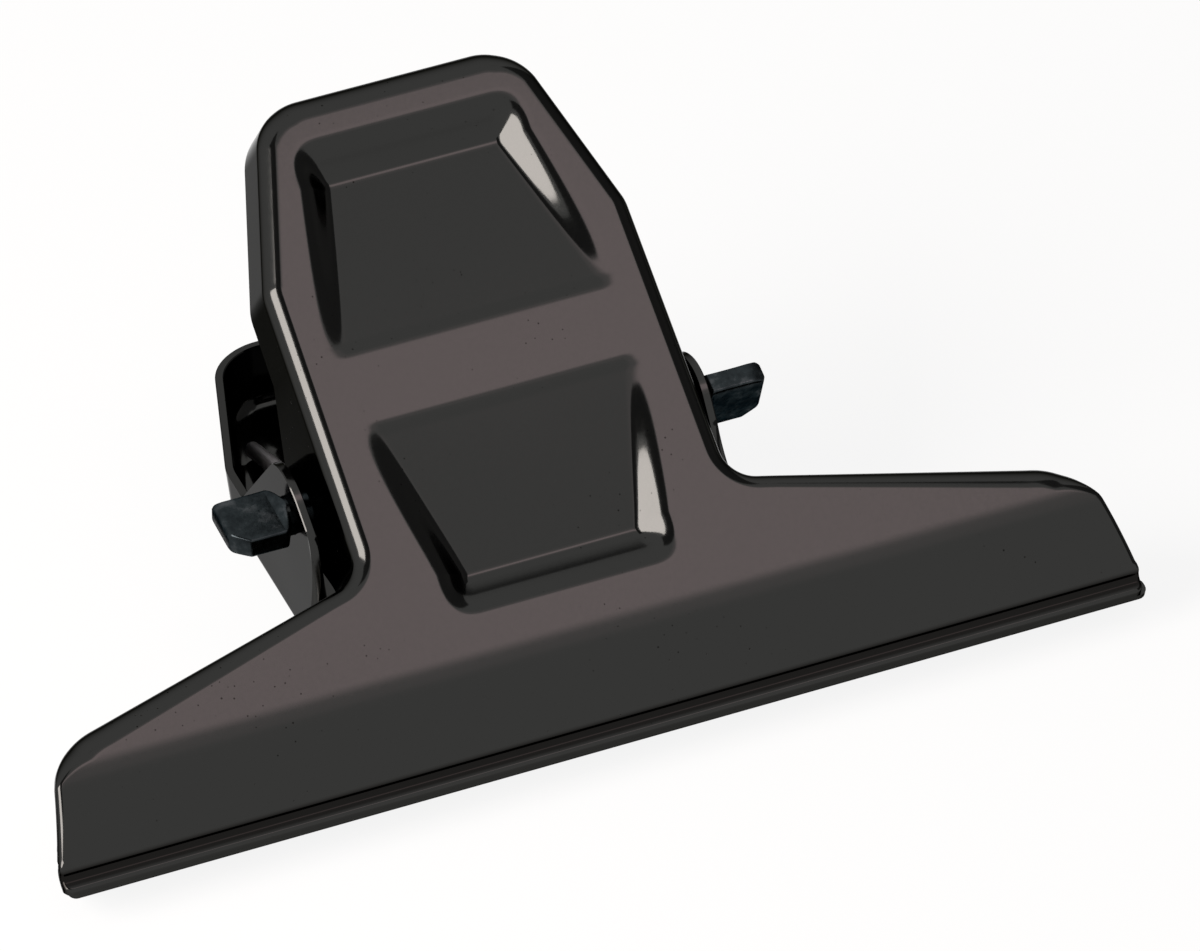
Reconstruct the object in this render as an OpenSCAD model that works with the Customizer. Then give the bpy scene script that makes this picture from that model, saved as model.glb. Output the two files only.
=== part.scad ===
// Wide bulldog clip: two pressed sheet-steel jaw plates hinged on one cross pin,
// held shut by two wound wire springs. It lies on the outer face of its lower plate.
// X runs along the jaw, Y from the lips back to the handles, Z up. The origin is in the
// middle of the flat bar between the lower plate's thumb panels, on its outer face,
// which is the surface that the clip lies on. Millimetres.

/* [Jaw] */
// Width of the gripping lips.
jaw_w = 127.4; // [102:0.1:152]
// Width of the jaw where its bulge starts.
wing_w = 121.9; // [97:0.1:146]
// Lean of each plate away from the plane between the lips, in degrees.
lean = 17.8; // [16.8:0.2:19]
// Radius that the jaw is bent to on its outer face.
bulge_r = 18; // [16:0.5:20]
// Turn of the jaw bend, in degrees.
bulge_turn = 37; // [34:0.5:40]
// Flat height of each lip beyond the crease.
lip_h = 1.4; // [1.2:0.1:2]
// Radius of the crease above the lip, on the outer face.
crease_r = 1; // [0.8:0.1:1.4]
// Gap left between the closed lips.
lip_gap = 0.06; // [0.04:0.01:0.12]

/* [Handle] */
// Length of a plate from the start of its jaw bend to the handle end.
handle_l = 66.5; // [61:0.5:72]
// Outer width of the upper plate's neck.
neck_w = 43.8; // [38:0.5:48]
// Outer width of the handle end, before its corners are rounded.
head_w = 30.4; // [27:0.5:34]
// Distance from the jaw bend to the shoulders of the handle.
shoulder_y = 45.4; // [42:0.5:48]
// Distance from the jaw bend to the inner corner of neck and wing.
neck_y = 11.6; // [10:0.2:13]
// Outer radius of the handle end's corners.
head_corner_r = 6.5; // [5.5:0.5:7.5]
// Radius of the inner corner of neck and wing.
neck_corner_r = 4; // [3:0.5:5]
// Radius of the wing's outer corner.
wing_corner_r = 4.5; // [3.5:0.5:5.5]

/* [Pressed sheet] */
// Thickness of the sheet steel.
sheet = 1; // [0.8:0.1:1.2]
// Outer radius of the pressed edges.
edge_r = 2; // [1.6:0.1:2.4]
// Outer radius of the pressed edges at the wing corners and the handle end.
soft_edge_r = 3; // [2.4:0.1:3.4]
// Depth of the skirt round the handle.
skirt = 8.5; // [7.5:0.5:9.5]
// Depth of the turned edge at the wing tips.
tip_skirt = 1.5; // [1.4:0.1:2]
// Depth that the thumb panels are pressed in.
panel_depth = 2.4; // [1.8:0.1:3]
// Breadth of the sloping wall of a thumb panel.
panel_wall = 4.6; // [3.6:0.1:5]
// Breadth of the soft slope from the flat bar down to a thumb panel's floor.
panel_ramp = 2.6; // [1.8:0.1:3]

/* [Hinge] */
// Diameter of the hinge pin.
pin_d = 4.5; // [4:0.1:5]
// Radial play of the pin in its holes.
pin_play = 0.05; // [0.03:0.01:0.1]
// Distance of the pin from the lips, along the plane between them.
pin_u = 37.5; // [36:0.5:39]
// Offset of the pin from that plane, toward the upper plate.
pin_v = 3.9; // [3:0.1:4.8]
// Slope of the lower plate's skirts and ears, outward from square, in degrees.
splay = 4.5; // [3.5:0.5:6]
// Radius of the rounded ear tips round the pin.
ear_r = 6; // [5:0.5:7]
// Length of each flattened pin end.
paddle_l = 7.5; // [6.5:0.1:8]
// Breadth of each flattened pin end.
paddle_w = 6.4; // [5.5:0.1:7]
// Thickness of each flattened pin end.
paddle_t = 2.6; // [2.2:0.1:3]
// Twist of the left end, in degrees.
left_twist = 24; // [0:1:90]
// Twist of the right end, in degrees.
right_twist = 62; // [0:1:90]

/* [Springs] */
// Diameter of the spring wire.
wire_d = 1.9; // [1.6:0.1:2]
// Mean radius of the coils.
coil_r = 4.4; // [4.2:0.1:4.8]
// Pitch from one coil to the next.
coil_pitch = 2.5; // [2.4:0.1:2.8]
// Distance of the outer leg from the middle of the clip.
leg_x = 16.2; // [15.6:0.1:16.6]
// Distance from the jaw bend to the outer leg's end, on the lower plate.
outer_leg_y = 56; // [50:1:58]
// Distance from the jaw bend to the inner leg's end, on the upper plate.
inner_leg_y = 46; // [42:1:50]
// Gap between a leg's end and the plate that it bears on.
leg_gap = 0.1; // [0.05:0.05:0.3]

/* [Hidden] */
$fn = 48;
lower_neck_w = neck_w + 2 * sheet;
lower_head_w = head_w + 2 * sheet;
ear_margin = 0.35;
paddle_root = 1.2;
paddle_root_share = 0.72;
paddle_cut_shares = [0.28, 0.22];
swage_root = 0.1;
ear_run_out = 2;
lower_flank = 46;
upper_flank = 40;
coil_count = 6;
wire_end_share = 0.7;
lip_corner_share = 0.9;
crease_corner_r = 3;
shoulder_r = 6;
soft_from = 110;
soft_to = 170;
lip_edge_r = 0.35;
lip_skirt_extra = 0.02;
inner_edge_r = 0.3;
tip_edge_r = 0.6;
wing_top_y = 2.2;
wing_end_from = -5;
wing_end_to = 1;

// Shares of the wing's length over which its turned edge keeps the full depth and
// then fades, and shares of the neck's width that tell the wing from the neck.
wing_full_share = 0.12;
wing_fade_share = 0.85;
wing_from_share = 0.6;
wing_side_share = 0.8;
lip_zone_share = 0.96;
shoulder_taper_share = 0.0075;

// Places across a thumb panel's wall, from the rim to the floor, and the shares of its
// breadth that are rounded at the rim and at the foot.
wall_shares = [0, 0.25, 0.5, 0.9, 1];
soft_rim_share = 0.5;
soft_foot_share = 0.1;

// Lengths along the developed sheet: the bend, the crease and the lip.
bulge_s = bulge_r * bulge_turn * PI / 180;
crease_s = crease_r * (bulge_turn + lean) * PI / 180;
tip_s = -(bulge_s + crease_s + lip_h);

// The thumb panels' floors, as shares of the handle's length, and their half widths,
// as shares of the neck's width, from the lip side to the handle's end.
low_floor_shares = [0.137, 0.4];
up_floor_shares = [0.555, 0.838];
low_width_shares = [0.222, 0.327];
up_width_shares = [0.338, 0.222];
low_floor = handle_l * low_floor_shares;
up_floor = handle_l * up_floor_shares;

// How deep a floor is at the bar, and how its side walls narrow toward the bar.
bar_depth_share = 0.3;
bar_wall_share = 0.2;
wall_close_share = 0.12;
face_share = 0.96;

// Unit directions and shares.
function dir(h) = [cos(h), sin(h)];
function side(h) = [sin(h), -cos(h)];
function lerp(a, b, k) = a + (b - a) * k;
function clamp01(k) = min(1, max(0, k));
function ramp(v, a, b) = clamp01((v - a) / (b - a));

// Where a point of the developed sheet lands once the jaw is bent: s runs along
// the outer face, negative toward the lip, and d goes inward from that face.
function bulge_end() = [-bulge_r * sin(bulge_turn), bulge_r * (1 - cos(bulge_turn))];
function inward(h) = [sin(h), cos(h)];
function crease_mid() = bulge_end() - crease_r * inward(bulge_turn);
function lip_start() = crease_mid() + crease_r * inward(-lean);
function heading(s) =
    s >= 0 ? 0 :
    s > -bulge_s ? -s / bulge_r * 180 / PI :
    s > -bulge_s - crease_s ? bulge_turn - (-s - bulge_s) / crease_r * 180 / PI :
    -lean;
function on_face(s) =
    s >= 0 ? [s, 0] :
    s > -bulge_s ? [-bulge_r * sin(heading(s)), bulge_r * (1 - cos(heading(s)))] :
    s > -bulge_s - crease_s ? crease_mid() + crease_r * inward(heading(s)) :
    lip_start() - (-s - bulge_s - crease_s) * dir(lean);
function bent(x, s, d) = [x, on_face(s)[0] + inward(heading(s))[0] * d,
    on_face(s)[1] + inward(heading(s))[1] * d];

// The plane between the lips, seen from a plate: its distance from the start of
// the jaw bend, and how far the lips' ends lie ahead of that start.
mid_point = lip_start() + inward(-lean) * (sheet + lip_gap / 2);
mid_v = mid_point * inward(-lean);
mid_u = lip_h - lip_start() * dir(lean);

// A point given along and off the middle plane, in the frame of either plate.
function plate_at(u, v) = (u - mid_u) * dir(lean) + (mid_v - v) * inward(-lean);
upper_pin = plate_at(pin_u, pin_v);
lower_pin = plate_at(pin_u, -pin_v);

// The resting frame: the lower plate's own frame, moved so that the middle of the
// bar between its thumb panels is the origin.
rest_y = -(low_floor[1] + up_floor[0]) / 2;
hinge = [0, rest_y + lower_pin[0], lower_pin[1]];
ear_face_x = lower_neck_w / 2 + (lower_pin[1] - edge_r) * tan(splay);

// A corner of the outline between headings h1 and h2, as points [x, s, heading].
function corner(p, h1, h2, r, n) =
    let (turn = h2 - h1, way = sign(turn), reach = r * tan(abs(turn) / 2))
    let (mid = p - dir(h1) * reach - way * r * side(h1))
    [for (j = [0:n]) let (h = h1 + turn * j / n, q = mid + way * r * side(h)) [q[0], q[1], h]];
function along(a, b, n) =
    [for (j = [1:n]) let (q = lerp(a, b, j / (n + 1))) [q[0], q[1], a[2]]];
function last(a) = a[len(a) - 1];

// The right half of a plate's outline, from the lip up to the handle's end.
function outline(nw, hw) =
    let (x0 = jaw_w / 2, x1 = wing_w / 2, xn = nw / 2, xh = hw / 2)
    let (crease_at = -bulge_s - crease_s, xs = xn - neck_w * shoulder_taper_share)
    let (h_end = 90 + atan2(x0 - x1, bulge_s))
    let (wing_top = [x1, wing_top_y])
    let (h_wing = 90 + atan2(x1 - xn, neck_y - wing_top[1]))
    let (h_neck = 90 + atan2(xn - xs, shoulder_y - neck_y))
    let (h_head = 90 + atan2(xs - xh, handle_l - shoulder_y))
    let (lip_c = corner([x0, tip_s], 0, 90, lip_h * lip_corner_share, 4))
    let (end_c = corner([x0, -bulge_s], 90, h_end, crease_corner_r, 2))
    let (wing_c = corner(wing_top, h_end, h_wing, wing_corner_r, 6))
    let (neck_c = corner([xn, neck_y], h_wing, h_neck, neck_corner_r, 7))
    let (sho_c = corner([xs, shoulder_y], h_neck, h_head, shoulder_r, 3))
    let (head_c = corner([xh, handle_l], h_head, 180, head_corner_r, 7))
    concat(lip_c, [[x0, crease_at, 90], [x0, crease_at + crease_s / 2, 90]], end_c,
        along(last(end_c), wing_c[0], 6), wing_c, along(last(wing_c), neck_c[0], 9), neck_c,
        along(last(neck_c), sho_c[0], 24), sho_c, along(last(sho_c), head_c[0], 12), head_c);

// The depth of the ear at an outline point: a rounded lug about the pin with straight
// flanks, which runs out along the wing.
function ear_at(q, nw, pin, flank) =
    let (out = max(0, q[0] - nw / 2), brow = ear_r * sin(flank))
    let (off = abs(q[1] - pin[0]) + out * ear_run_out)
    off < brow ? pin[1] + sqrt(ear_r * ear_r - off * off) :
    pin[1] + ear_r * cos(flank) - (off - brow) * tan(flank);

// How fully the edge is turned down at an outline point: all round the handle,
// fading along the wing and bare at the wing's end.
function turned(q, nw) =
    q[1] < 0 || q[2] < 120 && q[0] > nw * wing_side_share ? 0 :
    1 - ramp(q[0], nw / 2 + (wing_w - nw) / 2 * wing_full_share,
        nw / 2 + (wing_w - nw) / 2 * wing_fade_share);
function wing_end(q) = ramp(q[1], wing_end_from, wing_end_to);
function round_r(q, nw) =
    q[1] < -bulge_s * lip_zone_share ? lip_edge_r :
    q[0] > nw * wing_from_share ?
        lerp(tip_edge_r, lerp(soft_edge_r, edge_r, turned(q, nw)), wing_end(q)) :
    q[1] < shoulder_y ? edge_r :
    lerp(edge_r, soft_edge_r, ramp(q[2], soft_from, soft_to));
function drop(q, nw, pin, flank) =
    q[1] < -bulge_s * lip_zone_share ? sheet + lip_skirt_extra :
    q[0] > nw * wing_from_share ?
        max(ear_at(q, nw, pin, flank), lerp(tip_skirt,
            lerp(soft_edge_r + tip_edge_r, skirt, turned(q, nw)), wing_end(q))) :
    max(skirt, ear_at(q, nw, pin, flank));
function wall_t(q) = q[1] < -bulge_s * lip_zone_share ? lip_edge_r : sheet;
function fillet_r(q, nw) = max(inner_edge_r, round_r(q, nw) - sheet);

// The steps of the turned edge, as [inset, depth], outside and inside the sheet.
function outer_steps(r, d, slope) =
    [[-(d - r) * tan(slope), d], [0, r], [r * (1 - cos(30)), r * (1 - sin(30))],
    [r * (1 - cos(60)), r * (1 - sin(60))], [r, 0]];
function inner_steps(t, f, d, slope) =
    [[t - (d - sheet - f) * tan(slope), d], [t, sheet + f * (d > sheet + f ? 1 : 0)],
    [t + f * (1 - cos(45)), sheet + f * (1 - sin(45)) * (d > sheet + f ? 1 : 0)],
    [t + f, sheet]];
function stepped(q, step, way) =
    let (n = side(q[2]))
    bent(way * (q[0] - n[0] * step[0]), q[1] - n[1] * step[0], step[1]);

// Where the face starts beside an outline point: its distance across and along.
function face_edge(q, step) =
    [q[0] - side(q[2])[0] * step[0], q[1] - side(q[2])[1] * step[0]];

// The thumb panels at height s: how far the floor's bar end and deep end are, the
// floor's half width, the side wall's breadth, and the depth of the floor.
function is_low(s) = s < (low_floor[1] + up_floor[0]) / 2;
function from_bar(s) = is_low(s) ? low_floor[1] - s : s - up_floor[0];
function from_deep(s) = is_low(s) ? s - low_floor[0] : up_floor[1] - s;
function floor_half_w(s) = neck_w * (is_low(s) ?
    lerp(low_width_shares[0], low_width_shares[1], ramp(s, low_floor[0], low_floor[1])) :
    lerp(up_width_shares[0], up_width_shares[1], ramp(s, up_floor[0], up_floor[1])));
function wall_w(s) =
    let (k = 1 - clamp01(from_bar(s) / (handle_l * wall_close_share)))
    panel_wall * lerp(bar_wall_share, 1, sqrt(1 - k * k));
function floor_depth(s) =
    panel_depth * lerp(bar_depth_share, 1, from_bar(s) / (from_bar(s) + from_deep(s)));

// Where a place is between rim and floor, from 0 to 1, and how deep the wall is there.
function end_place(s) =
    clamp01(1 + min(from_deep(s) / panel_wall, from_bar(s) / panel_ramp));
function wall_rise(k) =
    let (m = 1 / (1 - (soft_rim_share + soft_foot_share) / 2))
    k < soft_rim_share ? m * k * k / (2 * soft_rim_share) :
    k > 1 - soft_foot_share ? 1 - m * pow(1 - k, 2) / (2 * soft_foot_share) :
    m * (k - soft_rim_share / 2);
function panel_at(s, j) = max(0, floor_depth(s)) *
    wall_rise(clamp01(1 - norm([1 - wall_shares[j], 1 - end_place(s)])));
function panel_x(s, j) = floor_half_w(s) + wall_w(s) * (1 - wall_shares[j]);

// One row of the face between its turned edges, from the left to the right, kept
// inside the face's edge, which is at q.
function row(q, base) =
    let (s = q[1], k = min(1, face_share * q[0] / panel_x(s, 0)))
    concat([for (j = [0:4]) bent(-panel_x(s, j) * k, s, base + panel_at(s, j))],
        [for (j = [4:-1:0]) bent(panel_x(s, j) * k, s, base + panel_at(s, j))]);

// Rings of points round the whole outline, the right side up and the left side down.
function ring(rim, k, steps) =
    concat([for (i = [0:len(rim) - 1]) stepped(rim[i], steps[i][k], 1)],
        [for (i = [len(rim) - 1:-1:0]) stepped(rim[i], steps[i][k], -1)]);
function quads(a, b, m) =
    [for (j = [0:m - 1]) let (n = (j + 1) % m) each [[a + j, a + n, b + n], [a + j, b + n, b + j]]];
function flip(faces) = [for (f = faces) [f[0], f[2], f[1]]];

// A strip of triangles between two rows of points, given as lists of indices.
function strip(a, b) =
    [for (j = [0:len(a) - 2]) each [[a[j], b[j], b[j + 1]], [a[j], b[j + 1], a[j + 1]]]];
function face_row(i, n, edge0, row0) =
    concat([edge0 + 2 * n - 1 - i], [for (j = [0:9]) row0 + i * 10 + j], [edge0 + i]);

// The last strip at either end of the face, fanned out from the outline's straight edge.
function fan(a, left, right) =
    concat([for (j = [0:len(a) - 2]) [right, a[j], a[j + 1]]], [[right, left, a[0]]]);
function face(n, edge0, row0) =
    concat(flip(fan(face_row(1, n, edge0, row0), edge0 + 2 * n - 1, edge0)),
        [for (i = [1:n - 3]) each flip(strip(face_row(i, n, edge0, row0),
            face_row(i + 1, n, edge0, row0)))],
        fan(face_row(n - 2, n, edge0, row0), edge0 + n, edge0 + n - 1));

// A whole pressed plate in its own frame: outer face at zero, sheet inward in Z.
module pressed_plate(nw, hw, pin, flank, slope) {
    rim = outline(nw, hw);
    n = len(rim);
    m = 2 * n;
    outer = [for (q = rim) outer_steps(round_r(q, nw), drop(q, nw, pin, flank),
        slope * turned(q, nw))];
    inner = [for (q = rim) inner_steps(wall_t(q), fillet_r(q, nw),
        drop(q, nw, pin, flank), slope * turned(q, nw))];
    outer_q = [for (i = [0:n - 1]) face_edge(rim[i], outer[i][4])];
    inner_q = [for (i = [0:n - 1]) face_edge(rim[i], inner[i][3])];
    points = concat(
        [for (k = [0:4]) each ring(rim, k, outer)],
        [for (k = [0:3]) each ring(rim, k, inner)],
        [for (q = outer_q) each row(q, 0)],
        [for (q = inner_q) each row(q, sheet)]);
    outer_row0 = 9 * m;
    inner_row0 = 9 * m + 10 * n;
    faces = concat(
        [for (k = [0:3]) each quads(k * m, (k + 1) * m, m)],
        flip([for (k = [5:7]) each quads(k * m, (k + 1) * m, m)]),
        flip(quads(0, 5 * m, m)),
        face(n, 4 * m, outer_row0),
        flip(face(n, 8 * m, inner_row0)));
    difference() {
        polyhedron(points, faces);
        translate([-nw, pin[0], pin[1]])
            rotate([0, 90, 0])
                cylinder(h = 2 * nw, r = pin_d / 2 + pin_play);
    }
}

module lower_plate() {
    color([0.22, 0.2, 0.2])
        translate([0, rest_y, 0])
            pressed_plate(lower_neck_w, lower_head_w, lower_pin, lower_flank, splay);
}

module upper_plate() {
    color([0.24, 0.22, 0.22])
        translate(hinge)
            rotate([2 * lean, 0, 0])
                mirror([0, 0, 1])
                    translate([0, -upper_pin[0], -upper_pin[1]])
                        pressed_plate(neck_w, head_w, upper_pin, upper_flank, 0);
}

// A round rod through all four ears, its ends squashed flat outside them, each with one
// corner of its end cut back.
pin_root_x = ear_face_x + ear_margin;
paddle_root_w = paddle_w * paddle_root_share;
paddle_outline = [[0, -paddle_root_w / 2], [paddle_root, -paddle_w / 2],
    [paddle_l * (1 - paddle_cut_shares[0]), -paddle_w / 2],
    [paddle_l, paddle_w * (paddle_cut_shares[1] - 1 / 2)],
    [paddle_l, paddle_w / 2], [paddle_root, paddle_w / 2], [0, paddle_root_w / 2]];
module pin_end(twist) {
    hull() {
        translate([pin_root_x - swage_root, 0, 0])
            rotate([0, 90, 0])
                cylinder(h = swage_root, r = pin_d / 2, $fn = 32);
        translate([pin_root_x, 0, 0])
            rotate([twist, 0, 0])
                translate([0, -paddle_root_w / 2, -paddle_t / 2])
                    cube([paddle_root, paddle_root_w, paddle_t]);
    }
    translate([pin_root_x, 0, 0])
        rotate([twist, 0, 0])
            translate([0, 0, -paddle_t / 2])
                linear_extrude(paddle_t)
                    polygon(paddle_outline);
}
module axle_pin() {
    color([0.16, 0.18, 0.2])
        translate(hinge) {
            translate([-pin_root_x, 0, 0])
                rotate([0, 90, 0])
                    cylinder(h = 2 * pin_root_x, r = pin_d / 2);
            pin_end(right_twist);
            mirror([1, 0, 0])
                pin_end(left_twist);
        }
}

// The wire's middle line: the outer leg, the coils and the inner leg, in the
// frame of the right spring, seen from the pin.
function turned_at(x, a, r) = [x, r * cos(a), r * sin(a)];
outer_end = [outer_leg_y - lower_pin[0], sheet + leg_gap + wire_d / 2 - lower_pin[1]];
inner_rel = [inner_leg_y - upper_pin[0],
    upper_pin[1] - sheet - leg_gap - wire_d / 2 - floor_depth(inner_leg_y)];
inner_end = [inner_rel[0] * cos(2 * lean) - inner_rel[1] * sin(2 * lean),
    inner_rel[0] * sin(2 * lean) + inner_rel[1] * cos(2 * lean)];
outer_a = atan2(outer_end[1], outer_end[0]) - acos(coil_r / norm(outer_end));
inner_a = atan2(inner_end[1], inner_end[0]) + acos(coil_r / norm(inner_end));
coil_turn = 360 * coil_count + outer_a - inner_a;
inner_x = leg_x - coil_turn / 360 * coil_pitch;
coil_steps = ceil(coil_turn / 45);
coil_line = [for (j = [0:coil_steps]) let (k = j / coil_steps)
    turned_at(lerp(leg_x, inner_x, k), outer_a - coil_turn * k, coil_r)];
outer_leg = [for (k = [1, 0.98, 0.5]) let (a = turned_at(leg_x, outer_a, coil_r))
    lerp(a, [leg_x, outer_end[0], outer_end[1]], k)];
inner_leg = [for (k = [0.5, 0.98, 1]) let (a = turned_at(inner_x, inner_a, coil_r))
    lerp(a, [inner_x, inner_end[0], inner_end[1]], k)];
wire_line = concat(outer_leg, coil_line, inner_leg);

// A tube round the wire's line: the same number of sides at every ring, each ring
// square to the line and kept level with the X axis so that it doesn't twist.
function unit(v) = v / norm(v);
function tube_ring(line, j, r, n) =
    let (a = line[max(0, j - 1)], b = line[min(len(line) - 1, j + 1)], t = unit(b - a))
    let (x = unit([1, 0, 0] - t * t[0]), y = cross(t, x))
    [for (i = [0:n - 1]) line[j] + r * (cos(360 * i / n) * x + sin(360 * i / n) * y)];
function tube_r(j, n) = wire_d / 2 * (j == 0 || j == n - 1 ? wire_end_share : 1);
module tube(line, n) {
    c = len(line);
    points = [for (j = [0:c - 1]) each tube_ring(line, j, tube_r(j, c), n)];
    sides = [for (j = [0:c - 2]) each quads(j * n, (j + 1) * n, n)];
    faces = concat([[for (i = [0:n - 1]) i]],
        [for (f = sides) [f[0], f[2], f[1]]],
        [[for (i = [n - 1:-1:0]) (c - 1) * n + i]]);
    polyhedron(points, faces);
}
module spring() {
    color([0.45, 0.46, 0.47])
        translate(hinge)
            tube(wire_line, 6);
}
module right_spring() {
    spring();
}
module left_spring() {
    mirror([1, 0, 0])
        spring();
}

// The least gap of the wire to itself, from ring to ring at least a third of a curl apart.
coil_gap = min([for (i = [0:len(wire_line) - 1]) for (j = [i + 3:1:len(wire_line) - 1])
    norm(wire_line[i] - wire_line[j]) - wire_d]);
echo(coil_gap = coil_gap);

lower_plate();
upper_plate();
axle_pin();
left_spring();
right_spring();
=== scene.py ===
# %% [markdown]
# # A wide bulldog clip in black nickel
# This file dresses a clip that is already built and measured: two pressed sheet-steel
# jaw plates, one cross pin and two wound springs. What Blender adds is what the eye
# reads: soft pressed edges, thumb panels with rounded walls, the thin bright line of a
# sheared edge, and a dark, glossy plated finish.

# %% Load the frame
import math

import bmesh
import bpy
from mathutils import Matrix, Vector


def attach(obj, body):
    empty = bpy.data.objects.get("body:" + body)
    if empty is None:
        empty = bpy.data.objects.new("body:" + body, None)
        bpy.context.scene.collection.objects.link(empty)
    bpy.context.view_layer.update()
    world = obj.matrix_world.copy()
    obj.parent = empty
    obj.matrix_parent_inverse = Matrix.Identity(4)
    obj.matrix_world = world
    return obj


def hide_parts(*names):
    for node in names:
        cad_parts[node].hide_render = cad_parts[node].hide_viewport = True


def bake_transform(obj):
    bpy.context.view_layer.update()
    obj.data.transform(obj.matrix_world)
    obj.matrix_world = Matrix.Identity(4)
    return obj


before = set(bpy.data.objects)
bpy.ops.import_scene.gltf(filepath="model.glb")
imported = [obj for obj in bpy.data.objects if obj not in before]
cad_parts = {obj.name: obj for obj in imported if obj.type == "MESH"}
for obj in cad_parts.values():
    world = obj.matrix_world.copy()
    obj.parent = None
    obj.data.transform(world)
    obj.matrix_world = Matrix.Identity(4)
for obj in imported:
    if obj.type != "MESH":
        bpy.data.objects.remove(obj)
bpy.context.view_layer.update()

# %% [markdown]
# ## Sizes
# The plates are made the way the press makes them: a flat blank is cut, its edges are
# turned down, two thumb panels are pushed in, and the jaw is bent last. So the sizes
# below describe the flat blank and the tools, and every point of the finished plate
# follows from them. All are in millimetres or degrees. Most are the solid model's own.
# The jaw's bends, the wings, the lip and the slope of the upper skirts are fitted a
# little closer to the real clip here.
#
# The jaw is three bends in a row: a broad one for the bulge, a tight one for the knuckle
# and a tighter one back for the fold. Each is written as its radius, the heading that it
# starts from and the heading that it ends on.

# %% Sizes of the plates in millimetres
MM = 0.001
# The sheet, and the radius of its turned edge where it is tight and where it is soft
SHEET, EDGE_R, SOFT_EDGE_R = 1.0, 2.0, 3.0
# Widths at the lips and at the wings, then the handle's length and its two widths
JAW_W, WING_W, LOWER_WING_W = 127.4, 120.7, 119.6
HANDLE_L, NECK_W, HEAD_W = 66.5, 43.8, 30.4
# Where along the handle the outline turns, and how round its corners are
SHOULDER_Y, NECK_Y, WING_TOP_Y = 45.4, 11.6, 2.2
HEAD_CORNER_R, SHOULDER_R, NECK_CORNER_R, WING_CORNER_R, END_R = 6.5, 6.0, 4.0, 8.5, 3.0
# The lip's slope, length and corner, the gap between the two lips, and the jaw's bends
LEAN, LIP_H, LIP_CORNER_R, LIP_GAP = 17.8, 0.92, 1.0, 0.06
BENDS = ((23.36, 0.0, 27.17), (1.15, 27.17, 68.0), (0.8, 68.0, -LEAN))
ARCS = [r * math.radians(abs(h1 - h0)) for r, h0, h1 in BENDS]
BULGE_S, CREASE_S = ARCS[0], ARCS[1] + ARCS[2]
# The skirt's depth on the handle and at the wings' tips, and its slope on each plate
SKIRT, TIP_SKIRT, SPLAY, UPPER_SPLAY = 8.5, 1.5, 4.5, 2.5
# The ears' radius and how steep their flanks are, and the pin, its play and its place
EAR_R, LOWER_FLANK, UPPER_FLANK = 6.0, 46, 40
PIN_D, PIN_PLAY, PIN_U, PIN_V = 4.5, 0.05, 37.5, 3.9
TIP_S = -(BULGE_S + CREASE_S + LIP_H)
print(f"The blank runs {HANDLE_L - TIP_S:.1f} mm from lip to handle end")


# %% [markdown]
# ## Small helpers
# Colours are written as the sRGB hex values that a painter would pick from a screen,
# and one function turns them into the linear light that Blender computes with. Another
# adds a node with its settings, and feeds each input with a value or a link, which keeps
# a material's recipe short enough to read. Two more do the sums that come up everywhere:
# one blends two numbers, and one says how far a number is on its way from a to b.

# %% Colour and node helpers
def paint(hex_code):
    channels = [int(hex_code[i:i + 2], 16) / 255 for i in (1, 3, 5)]
    return tuple(c / 12.92 if c <= 0.04045 else ((c + 0.055) / 1.055) ** 2.4
                 for c in channels) + (1.0,)


def feed(tree, node, inputs):
    for name, value in inputs.items():
        if isinstance(value, bpy.types.NodeSocket):
            tree.links.new(value, node.inputs[name])
        else:
            node.inputs[name].default_value = value


def add(tree, kind, settings=None, inputs=None):
    node = tree.nodes.new(kind)
    for name, value in (settings or {}).items():
        setattr(node, name, value)
    feed(tree, node, inputs or {})
    return node


def mix(a, b, k):
    return a + (b - a) * k


def share(v, a, b):
    return min(1.0, max(0.0, (v - a) / (b - a)))


print("White paint is", paint("#ffffff")[:3])


# %% [markdown]
# ## The camera
# The photograph was taken from well above and a little to the left, with a long lens:
# lines that are parallel on the clip stay almost parallel in the picture. The camera
# stands 1.28 m away on a 347 mm lens and is rolled by 2.9 degrees. It faces a point
# inside the clip squarely, and the lens is shifted to put that point where it belongs.

# %% Camera
def link(name, data):
    thing = bpy.data.objects.new(name, data)
    bpy.context.scene.collection.objects.link(thing)
    return thing


def camera_axes(azimuth, elevation, roll):
    a, e, r = (math.radians(v) for v in (azimuth, elevation, roll))
    back = Vector((math.sin(a) * math.cos(e), -math.cos(a) * math.cos(e), math.sin(e)))
    right = Vector((math.cos(a), math.sin(a), 0))
    up = back.cross(right)
    return (math.cos(r) * right + math.sin(r) * up,
            math.cos(r) * up - math.sin(r) * right, back)


PICTURE_W, PICTURE_H = 1200, 951
TARGET, TARGET_PIXEL = Vector((0, -9.15, 24.0)), (485.7, 419.8)
AZIMUTH, ELEVATION, ROLL, DISTANCE = -20.0, 36.94, -2.93, 1281.4
LENS, SENSOR_W = 347.5, 36.0
VIEW_RIGHT, VIEW_UP, VIEW_BACK = camera_axes(AZIMUTH, ELEVATION, ROLL)
stand = (TARGET + VIEW_BACK * DISTANCE) * MM
turn = Matrix((VIEW_RIGHT, VIEW_UP, VIEW_BACK)).transposed().to_4x4()
camera = link("camera", bpy.data.cameras.new("camera"))
camera.data.lens, camera.data.sensor_width = LENS, SENSOR_W
camera.data.shift_x = (PICTURE_W / 2 - TARGET_PIXEL[0]) / PICTURE_W
camera.data.shift_y = (TARGET_PIXEL[1] - PICTURE_H / 2) / PICTURE_W
camera.data.clip_start, camera.data.clip_end = 0.1, 20.0
camera.matrix_world = Matrix.Translation(stand) @ turn
bpy.context.scene.camera = camera
print("The camera stands at", [round(v, 3) for v in stand])


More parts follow.
